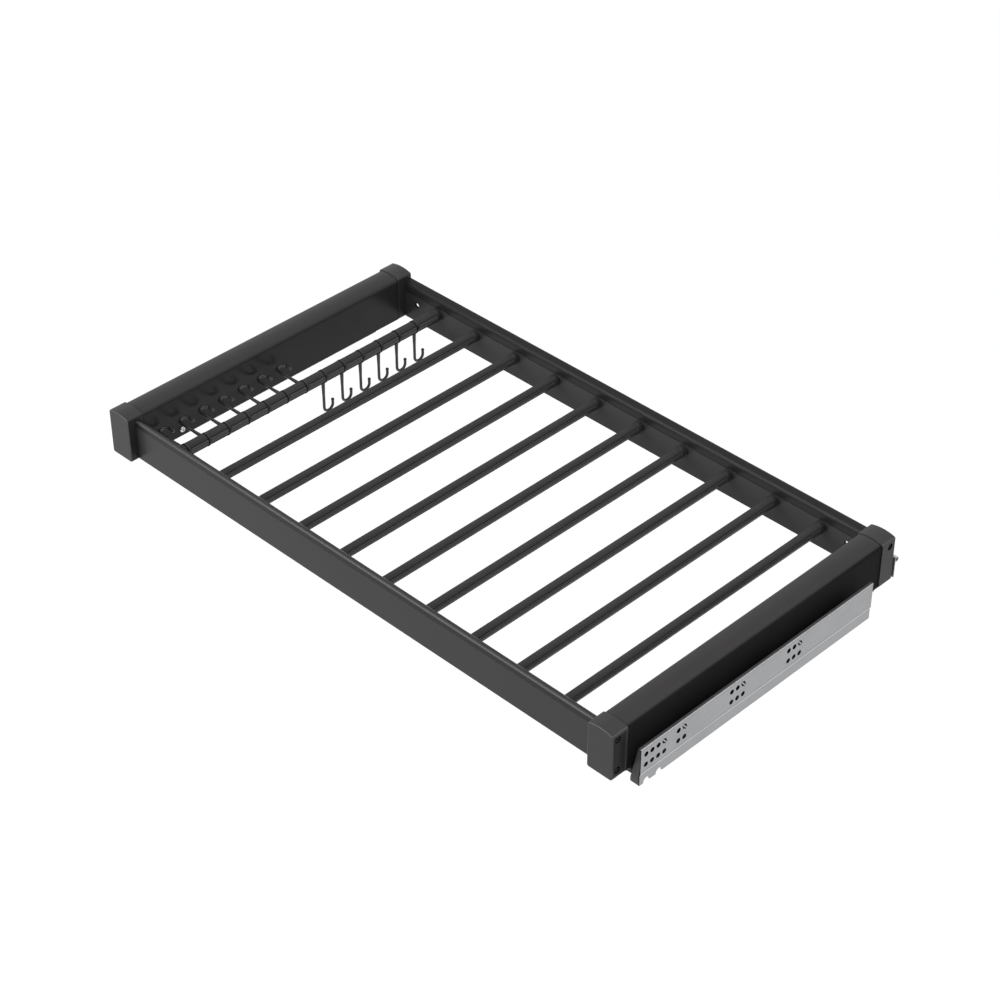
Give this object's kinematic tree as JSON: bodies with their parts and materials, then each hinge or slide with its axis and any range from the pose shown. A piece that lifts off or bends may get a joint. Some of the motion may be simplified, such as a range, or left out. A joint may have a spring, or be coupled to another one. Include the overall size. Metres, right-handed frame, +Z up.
{
  "type": "pull out trouser rack",
  "caption": "Low rectangular pull-out frame on full-extension side slides, with round trouser rods across its depth and a thicker rod of swinging J hooks, for a wardrobe.",
  "frame": {"origin": "centre of the left rail's two main fixing holes, on the plane of the left cabinet side", "axes": "+X from the left cabinet side to the right one, +Y into the wardrobe, +Z up; the rack pulls out along -Y"},
  "size_m": [0.864, 0.4838, 0.0914],
  "materials": {
    "corner_casting": "satin, warm dark grey",
    "beam_aluminium": "satin anodised, warm dark grey",
    "rail_aluminium": "satin anodised, warm dark grey",
    "cap_aluminium": "satin, slightly darker grey",
    "rod_aluminium": "satin anodised, warm dark grey",
    "grip_strip": "matt grey, soft",
    "collar_plastic": "satin, near black",
    "hook_plastic": "satin, warm dark grey",
    "galvanised_steel": "bright zinc-coated sheet",
    "guard_steel": "matt dark grey",
    "bearing_steel": "polished",
    "cage_plastic": "matt, off-white",
    "zinc_screw": "bright zinc",
    "black_screw": "blackened"
  },
  "bodies": {
    "cabinet_rails": {"left_cabinet_rail": "galvanised_steel", "left_edge_guard": "guard_steel", "right_cabinet_rail": "galvanised_steel", "right_edge_guard": "guard_steel"},
    "frame": {"front_left_corner": "corner_casting", "front_right_corner": "corner_casting", "rear_left_corner": "corner_casting", "rear_right_corner": "corner_casting", "corner_screws": "black_screw", "left_beam": "beam_aluminium", "right_beam": "beam_aluminium", "front_rail": "rail_aluminium", "rear_rail": "rail_aluminium", "front_rail_cap": "cap_aluminium", "rear_rail_cap": "cap_aluminium", "trouser_rod_1": "rod_aluminium", "trouser_rod_2": "rod_aluminium", "trouser_rod_3": "rod_aluminium", "trouser_rod_4": "rod_aluminium", "trouser_rod_5": "rod_aluminium", "trouser_rod_6": "rod_aluminium", "trouser_rod_7": "rod_aluminium", "trouser_rod_8": "rod_aluminium", "trouser_rod_9": "rod_aluminium", "accessory_rod": "rod_aluminium", "rod_grip_strips": "grip_strip", "accessory_rod_strip": "grip_strip", "front_rod_collars": "collar_plastic", "rear_rod_collars": "collar_plastic", "accessory_rod_collars": "collar_plastic", "left_drawer_rail": "galvanised_steel", "right_drawer_rail": "galvanised_steel", "lock_screws": "zinc_screw"},
    "left_middle_rail": {"left_middle_rail": "galvanised_steel"},
    "left_lower_cage": {"left_lower_cage": "cage_plastic", "left_rollers": "bearing_steel"},
    "left_upper_cage": {"left_upper_cage": "cage_plastic", "left_balls": "bearing_steel"},
    "right_middle_rail": {"right_middle_rail": "galvanised_steel"},
    "right_lower_cage": {"right_lower_cage": "cage_plastic", "right_rollers": "bearing_steel"},
    "right_upper_cage": {"right_upper_cage": "cage_plastic", "right_balls": "bearing_steel"},
    "hook_01": {"hook_01": "hook_plastic"},
    "hook_02": {"hook_02": "hook_plastic"},
    "hook_03": {"hook_03": "hook_plastic"},
    "hook_04": {"hook_04": "hook_plastic"},
    "hook_05": {"hook_05": "hook_plastic"},
    "hook_06": {"hook_06": "hook_plastic"},
    "hook_07": {"hook_07": "hook_plastic"},
    "hook_08": {"hook_08": "hook_plastic"},
    "hook_09": {"hook_09": "hook_plastic"},
    "hook_10": {"hook_10": "hook_plastic"},
    "hook_11": {"hook_11": "hook_plastic"},
    "hook_12": {"hook_12": "hook_plastic"},
    "hook_13": {"hook_13": "hook_plastic"}
  },
  "joints": [
    {"name": "frame_slide", "type": "slide", "parent": "cabinet_rails", "child": "frame", "axis": [0, -1, 0], "range_m": [0, 0.38]},
    {"name": "left_middle_rail_slide", "type": "slide", "parent": "cabinet_rails", "child": "left_middle_rail", "axis": [0, -1, 0], "range_m": [0, 0.19]},
    {"name": "left_lower_cage_slide", "type": "slide", "parent": "cabinet_rails", "child": "left_lower_cage", "axis": [0, -1, 0], "range_m": [0, 0.095]},
    {"name": "left_upper_cage_slide", "type": "slide", "parent": "cabinet_rails", "child": "left_upper_cage", "axis": [0, -1, 0], "range_m": [0, 0.285]},
    {"name": "right_middle_rail_slide", "type": "slide", "parent": "cabinet_rails", "child": "right_middle_rail", "axis": [0, -1, 0], "range_m": [0, 0.19]},
    {"name": "right_lower_cage_slide", "type": "slide", "parent": "cabinet_rails", "child": "right_lower_cage", "axis": [0, -1, 0], "range_m": [0, 0.095]},
    {"name": "right_upper_cage_slide", "type": "slide", "parent": "cabinet_rails", "child": "right_upper_cage", "axis": [0, -1, 0], "range_m": [0, 0.285]},
    {"name": "hook_01_swing", "type": "hinge", "parent": "frame", "child": "hook_01", "pos_m": [0.11025, -0.1418, 0.023], "axis": [0, 1, 0], "continuous": true},
    {"name": "hook_02_swing", "type": "hinge", "parent": "frame", "child": "hook_02", "pos_m": [0.11025, -0.10995, 0.023], "axis": [0, 1, 0], "continuous": true},
    {"name": "hook_03_swing", "type": "hinge", "parent": "frame", "child": "hook_03", "pos_m": [0.11025, -0.0781, 0.023], "axis": [0, 1, 0], "continuous": true},
    {"name": "hook_04_swing", "type": "hinge", "parent": "frame", "child": "hook_04", "pos_m": [0.11025, -0.04625, 0.023], "axis": [0, 1, 0], "continuous": true},
    {"name": "hook_05_swing", "type": "hinge", "parent": "frame", "child": "hook_05", "pos_m": [0.11025, -0.0144, 0.023], "axis": [0, 1, 0], "continuous": true},
    {"name": "hook_06_swing", "type": "hinge", "parent": "frame", "child": "hook_06", "pos_m": [0.11025, 0.01745, 0.023], "axis": [0, 1, 0], "continuous": true},
    {"name": "hook_07_swing", "type": "hinge", "parent": "frame", "child": "hook_07", "pos_m": [0.11025, 0.0493, 0.023], "axis": [0, 1, 0], "continuous": true},
    {"name": "hook_08_swing", "type": "hinge", "parent": "frame", "child": "hook_08", "pos_m": [0.11025, 0.08115, 0.023], "axis": [0, 1, 0], "continuous": true},
    {"name": "hook_09_swing", "type": "hinge", "parent": "frame", "child": "hook_09", "pos_m": [0.11025, 0.113, 0.023], "axis": [0, 1, 0], "continuous": true},
    {"name": "hook_10_swing", "type": "hinge", "parent": "frame", "child": "hook_10", "pos_m": [0.11025, 0.14485, 0.023], "axis": [0, 1, 0], "continuous": true},
    {"name": "hook_11_swing", "type": "hinge", "parent": "frame", "child": "hook_11", "pos_m": [0.11025, 0.1767, 0.023], "axis": [0, 1, 0], "continuous": true},
    {"name": "hook_12_swing", "type": "hinge", "parent": "frame", "child": "hook_12", "pos_m": [0.11025, 0.20855, 0.023], "axis": [0, 1, 0], "continuous": true},
    {"name": "hook_13_swing", "type": "hinge", "parent": "frame", "child": "hook_13", "pos_m": [0.11025, 0.2404, 0.023], "axis": [0, 1, 0], "continuous": true}
  ],
  "couplings": [
    {"joint": "left_middle_rail_slide", "follows": "frame_slide", "ratio": 0.5},
    {"joint": "left_lower_cage_slide", "follows": "frame_slide", "ratio": 0.25},
    {"joint": "left_upper_cage_slide", "follows": "frame_slide", "ratio": 0.75},
    {"joint": "right_middle_rail_slide", "follows": "frame_slide", "ratio": 0.5},
    {"joint": "right_lower_cage_slide", "follows": "frame_slide", "ratio": 0.25},
    {"joint": "right_upper_cage_slide", "follows": "frame_slide", "ratio": 0.75}
  ]
}
